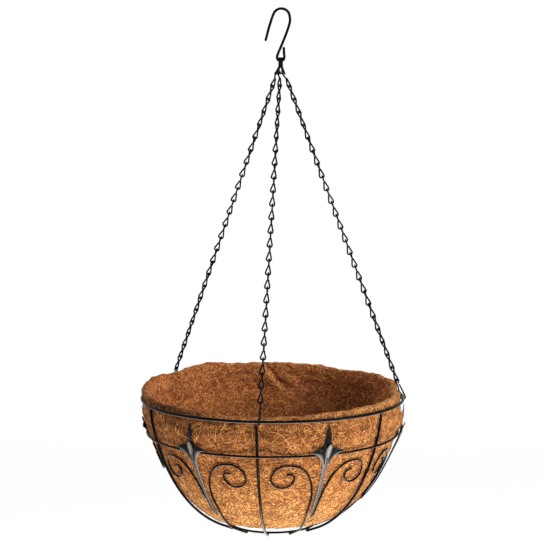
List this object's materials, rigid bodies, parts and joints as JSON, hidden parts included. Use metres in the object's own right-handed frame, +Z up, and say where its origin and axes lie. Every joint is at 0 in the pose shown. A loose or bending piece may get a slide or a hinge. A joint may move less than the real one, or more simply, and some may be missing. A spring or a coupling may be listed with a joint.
{
  "type": "hanging basket",
  "caption": "Round wire hanging basket with scrolls and leafy spears, a coir liner bowl, jack chains clipped to the rim and an S-hook.",
  "frame": {"origin": "inside of the hook's crown, where whatever carries the basket bears on the hook", "axes": "+Z up, -Y towards the front of the basket, +X to the right seen from the front"},
  "size_m": [0.3694, 0.3616, 0.7044],
  "materials": {
    "frame": "satin black powder coat",
    "leaf": "satin black powder coat on pressed sheet",
    "hook": "satin black coated wire",
    "chain": "black finished wire, worn bright on the bends",
    "clip": "black finished wire",
    "coir": "matt matted coconut fibre"
  },
  "bodies": {
    "hook": {"hook": "hook"},
    "basket": {"rim_ring": "frame", "middle_ring": "frame", "base_ring": "frame", "rib_1": "frame", "scroll_left_1": "frame", "scroll_right_1": "frame", "spear_1": "leaf", "rib_2": "frame", "scroll_left_2": "frame", "scroll_right_2": "frame", "spear_2": "leaf", "rib_3": "frame", "scroll_left_3": "frame", "scroll_right_3": "frame", "spear_3": "leaf", "rib_4": "frame", "scroll_left_4": "frame", "scroll_right_4": "frame", "spear_4": "leaf", "rib_5": "frame", "scroll_left_5": "frame", "scroll_right_5": "frame", "spear_5": "leaf", "rib_6": "frame", "scroll_left_6": "frame", "scroll_right_6": "frame", "spear_6": "leaf"},
    "liner": {"coir_liner": "coir"},
    "top_link_1": {"top_link_1": "chain"},
    "chain_1_5": {"chain_1_5": "chain"},
    "chain_1_4": {"chain_1_4": "chain"},
    "chain_1_3": {"chain_1_3": "chain"},
    "chain_1_2": {"chain_1_2": "chain"},
    "chain_1_1": {"chain_1_1": "chain"},
    "clip_1": {"clip_1": "clip"},
    "top_link_2": {"top_link_2": "chain"},
    "chain_2_5": {"chain_2_5": "chain"},
    "chain_2_4": {"chain_2_4": "chain"},
    "chain_2_3": {"chain_2_3": "chain"},
    "chain_2_2": {"chain_2_2": "chain"},
    "chain_2_1": {"chain_2_1": "chain"},
    "clip_2": {"clip_2": "clip"},
    "top_link_3": {"top_link_3": "chain"},
    "chain_3_5": {"chain_3_5": "chain"},
    "chain_3_4": {"chain_3_4": "chain"},
    "chain_3_3": {"chain_3_3": "chain"},
    "chain_3_2": {"chain_3_2": "chain"},
    "chain_3_1": {"chain_3_1": "chain"},
    "clip_3": {"clip_3": "clip"}
  },
  "joints": [
    {"name": "basket_swing", "type": "hinge", "parent": "hook", "child": "basket", "pos_m": [-0.0003, 0, -0.0666], "axis": [1, 0, 0], "range_deg": [-25, 25]},
    {"name": "top_link_1_swing", "type": "hinge", "parent": "hook", "child": "top_link_1", "pos_m": [-0.0003, 0, -0.0666], "axis": [1, 0, 0], "range_deg": [-25, 25]},
    {"name": "clip_1_tilt", "type": "hinge", "parent": "basket", "child": "clip_1", "pos_m": [-0.02764, -0.17724, -0.5219], "axis": [0.9879, -0.155, 0], "range_deg": [0, 120]},
    {"name": "chain_1_5_bend", "type": "hinge", "parent": "clip_1", "child": "chain_1_5", "pos_m": [-0.02628, -0.16854, -0.49957], "axis": [0.9879, -0.155, 0], "range_deg": [0, 30]},
    {"name": "chain_1_4_bend", "type": "hinge", "parent": "chain_1_5", "child": "chain_1_4", "pos_m": [-0.02099, -0.13484, -0.41304], "axis": [0.9879, -0.155, 0], "range_deg": [0, 30]},
    {"name": "chain_1_3_bend", "type": "hinge", "parent": "chain_1_4", "child": "chain_1_3", "pos_m": [-0.0157, -0.10113, -0.32651], "axis": [0.9879, -0.155, 0], "range_deg": [0, 30]},
    {"name": "chain_1_2_bend", "type": "hinge", "parent": "chain_1_3", "child": "chain_1_2", "pos_m": [-0.01147, -0.07417, -0.25729], "axis": [0.9879, -0.155, 0], "range_deg": [0, 30]},
    {"name": "chain_1_1_bend", "type": "hinge", "parent": "chain_1_2", "child": "chain_1_1", "pos_m": [-0.00618, -0.04047, -0.17076], "axis": [0.9879, -0.155, 0], "range_deg": [0, 30]},
    {"name": "top_link_2_swing", "type": "hinge", "parent": "hook", "child": "top_link_2", "pos_m": [-0.0003, 0, -0.0666], "axis": [1, 0, 0], "range_deg": [-25, 25]},
    {"name": "clip_2_tilt", "type": "hinge", "parent": "basket", "child": "clip_2", "pos_m": [0.16677, -0.00311, -0.5219], "axis": [0.0188, 0.9998, 0], "range_deg": [0, 120]},
    {"name": "chain_2_5_bend", "type": "hinge", "parent": "clip_2", "child": "chain_2_5", "pos_m": [0.15846, -0.00295, -0.49939], "axis": [0.0188, 0.9998, 0], "range_deg": [0, 30]},
    {"name": "chain_2_4_bend", "type": "hinge", "parent": "chain_2_5", "child": "chain_2_4", "pos_m": [0.12654, -0.00235, -0.41301], "axis": [0.0188, 0.9998, 0], "range_deg": [0, 30]},
    {"name": "chain_2_3_bend", "type": "hinge", "parent": "chain_2_4", "child": "chain_2_3", "pos_m": [0.09463, -0.00175, -0.32663], "axis": [0.0188, 0.9998, 0], "range_deg": [0, 30]},
    {"name": "chain_2_2_bend", "type": "hinge", "parent": "chain_2_3", "child": "chain_2_2", "pos_m": [0.0691, -0.00127, -0.25753], "axis": [0.0188, 0.9998, 0], "range_deg": [0, 30]},
    {"name": "chain_2_1_bend", "type": "hinge", "parent": "chain_2_2", "child": "chain_2_1", "pos_m": [0.03719, -0.00067, -0.17115], "axis": [0.0188, 0.9998, 0], "range_deg": [0, 30]},
    {"name": "top_link_3_swing", "type": "hinge", "parent": "hook", "child": "top_link_3", "pos_m": [-0.0003, 0, -0.0666], "axis": [1, 0, 0], "range_deg": [-25, 25]},
    {"name": "clip_3_tilt", "type": "hinge", "parent": "basket", "child": "clip_3", "pos_m": [-0.15647, 0.10286, -0.5219], "axis": [-0.5486, -0.8361, 0], "range_deg": [0, 120]},
    {"name": "chain_3_5_bend", "type": "hinge", "parent": "clip_3", "child": "chain_3_5", "pos_m": [-0.14882, 0.09784, -0.49971], "axis": [-0.5486, -0.8361, 0], "range_deg": [0, 30]},
    {"name": "chain_3_4_bend", "type": "hinge", "parent": "chain_3_5", "child": "chain_3_4", "pos_m": [-0.11899, 0.07826, -0.41323], "axis": [-0.5486, -0.8361, 0], "range_deg": [0, 30]},
    {"name": "chain_3_3_bend", "type": "hinge", "parent": "chain_3_4", "child": "chain_3_3", "pos_m": [-0.08916, 0.05869, -0.32675], "axis": [-0.5486, -0.8361, 0], "range_deg": [0, 30]},
    {"name": "chain_3_2_bend", "type": "hinge", "parent": "chain_3_3", "child": "chain_3_2", "pos_m": [-0.0653, 0.04303, -0.25756], "axis": [-0.5486, -0.8361, 0], "range_deg": [0, 30]},
    {"name": "chain_3_1_bend", "type": "hinge", "parent": "chain_3_2", "child": "chain_3_1", "pos_m": [-0.03546, 0.02345, -0.17108], "axis": [-0.5486, -0.8361, 0], "range_deg": [0, 30]},
    {"name": "liner_lift", "type": "slide", "parent": "basket", "child": "liner", "axis": [0, 0, 1], "range_m": [0, 0.008]}
  ],
  "couplings": [
    {"joint": "top_link_1_swing", "follows": "basket_swing", "ratio": 1},
    {"joint": "top_link_2_swing", "follows": "basket_swing", "ratio": 1},
    {"joint": "top_link_3_swing", "follows": "basket_swing", "ratio": 1}
  ]
}
